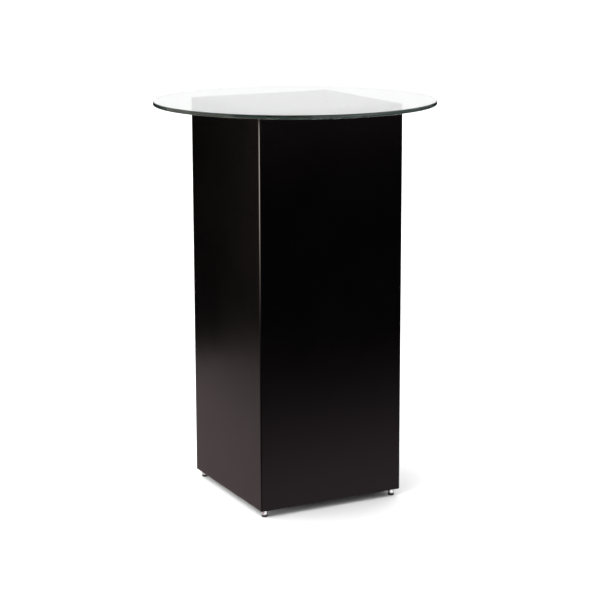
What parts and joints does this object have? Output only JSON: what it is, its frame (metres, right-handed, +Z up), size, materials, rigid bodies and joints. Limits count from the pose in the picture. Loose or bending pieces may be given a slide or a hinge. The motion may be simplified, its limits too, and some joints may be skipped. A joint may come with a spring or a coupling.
{
  "type": "display plinth",
  "caption": "Tall square black column on levelling feet with a round clear glass top, for showing an object or a display case.",
  "frame": {"origin": "on the floor, under the middle of the column and of the glass", "axes": "+Z up; +X and +Y square to the column's sides; the front wall faces -Y and the left wall faces -X"},
  "size_m": [0.7199, 0.72, 1.024],
  "materials": {
    "lacquered_mdf": "MDF board, satin black sprayed lacquer outside",
    "softwood": "planed spruce",
    "beech": "plain beech",
    "zinc_plated_steel": "bright zinc plate",
    "chromed_steel": "polished chrome plate",
    "pad_rubber": "matt black rubber",
    "clear_bumper": "clear soft polyurethane",
    "clear_glass": "clear toughened float glass, flat polished edge"
  },
  "bodies": {
    "column": {"back_wall": "lacquered_mdf", "base_cleat_back": "softwood", "base_cleat_front": "softwood", "base_cleat_left": "softwood", "base_cleat_right": "softwood", "base_dowels": "beech", "base_panel": "lacquered_mdf", "base_screws": "zinc_plated_steel", "batten_screws": "zinc_plated_steel", "corner_batten_back_left": "softwood", "corner_batten_back_right": "softwood", "corner_batten_front_left": "softwood", "corner_batten_front_right": "softwood", "foot_insert_back_left": "zinc_plated_steel", "foot_insert_back_right": "zinc_plated_steel", "foot_insert_front_left": "zinc_plated_steel", "foot_insert_front_right": "zinc_plated_steel", "front_wall": "lacquered_mdf", "glass_bumper_back": "clear_bumper", "glass_bumper_front": "clear_bumper", "glass_bumper_left": "clear_bumper", "glass_bumper_right": "clear_bumper", "left_wall": "lacquered_mdf", "mitre_biscuits": "beech", "right_wall": "lacquered_mdf", "top_cleat_back": "softwood", "top_cleat_front": "softwood", "top_cleat_left": "softwood", "top_cleat_right": "softwood", "top_dowels": "beech", "top_panel": "lacquered_mdf", "top_screws": "zinc_plated_steel"},
    "glass": {"glass_top": "clear_glass"},
    "pad_front_left": {"foot_pad_front_left": "pad_rubber"},
    "foot_front_left": {"foot_barrel_front_left": "chromed_steel", "foot_stud_front_left": "zinc_plated_steel"},
    "pad_front_right": {"foot_pad_front_right": "pad_rubber"},
    "foot_front_right": {"foot_barrel_front_right": "chromed_steel", "foot_stud_front_right": "zinc_plated_steel"},
    "pad_back_right": {"foot_pad_back_right": "pad_rubber"},
    "foot_back_right": {"foot_barrel_back_right": "chromed_steel", "foot_stud_back_right": "zinc_plated_steel"},
    "pad_back_left": {"foot_pad_back_left": "pad_rubber"},
    "foot_back_left": {"foot_barrel_back_left": "chromed_steel", "foot_stud_back_left": "zinc_plated_steel"}
  },
  "joints": [
    {"name": "glass_lift", "type": "slide", "parent": "column", "child": "glass", "axis": [0, 0, 1], "range_m": [0, 0.15]},
    {"name": "foot_height_front_left", "type": "slide", "parent": "column", "child": "pad_front_left", "axis": [0, 0, 1], "range_m": [-0.008, 0]},
    {"name": "foot_turn_front_left", "type": "hinge", "parent": "pad_front_left", "child": "foot_front_left", "pos_m": [-0.183, -0.183, 0], "axis": [0, 0, 1], "range_deg": [-2304, 0]},
    {"name": "foot_height_front_right", "type": "slide", "parent": "column", "child": "pad_front_right", "axis": [0, 0, 1], "range_m": [-0.008, 0]},
    {"name": "foot_turn_front_right", "type": "hinge", "parent": "pad_front_right", "child": "foot_front_right", "pos_m": [0.183, -0.183, 0], "axis": [0, 0, 1], "range_deg": [-2304, 0]},
    {"name": "foot_height_back_right", "type": "slide", "parent": "column", "child": "pad_back_right", "axis": [0, 0, 1], "range_m": [-0.008, 0]},
    {"name": "foot_turn_back_right", "type": "hinge", "parent": "pad_back_right", "child": "foot_back_right", "pos_m": [0.183, 0.183, 0], "axis": [0, 0, 1], "range_deg": [-2304, 0]},
    {"name": "foot_height_back_left", "type": "slide", "parent": "column", "child": "pad_back_left", "axis": [0, 0, 1], "range_m": [-0.008, 0]},
    {"name": "foot_turn_back_left", "type": "hinge", "parent": "pad_back_left", "child": "foot_back_left", "pos_m": [-0.183, 0.183, 0], "axis": [0, 0, 1], "range_deg": [-2304, 0]}
  ],
  "couplings": [
    {"joint": "foot_height_front_left", "follows": "foot_turn_front_left", "m_per_rad": 0.00019894},
    {"joint": "foot_height_front_right", "follows": "foot_turn_front_right", "m_per_rad": 0.00019894},
    {"joint": "foot_height_back_right", "follows": "foot_turn_back_right", "m_per_rad": 0.00019894},
    {"joint": "foot_height_back_left", "follows": "foot_turn_back_left", "m_per_rad": 0.00019894}
  ]
}
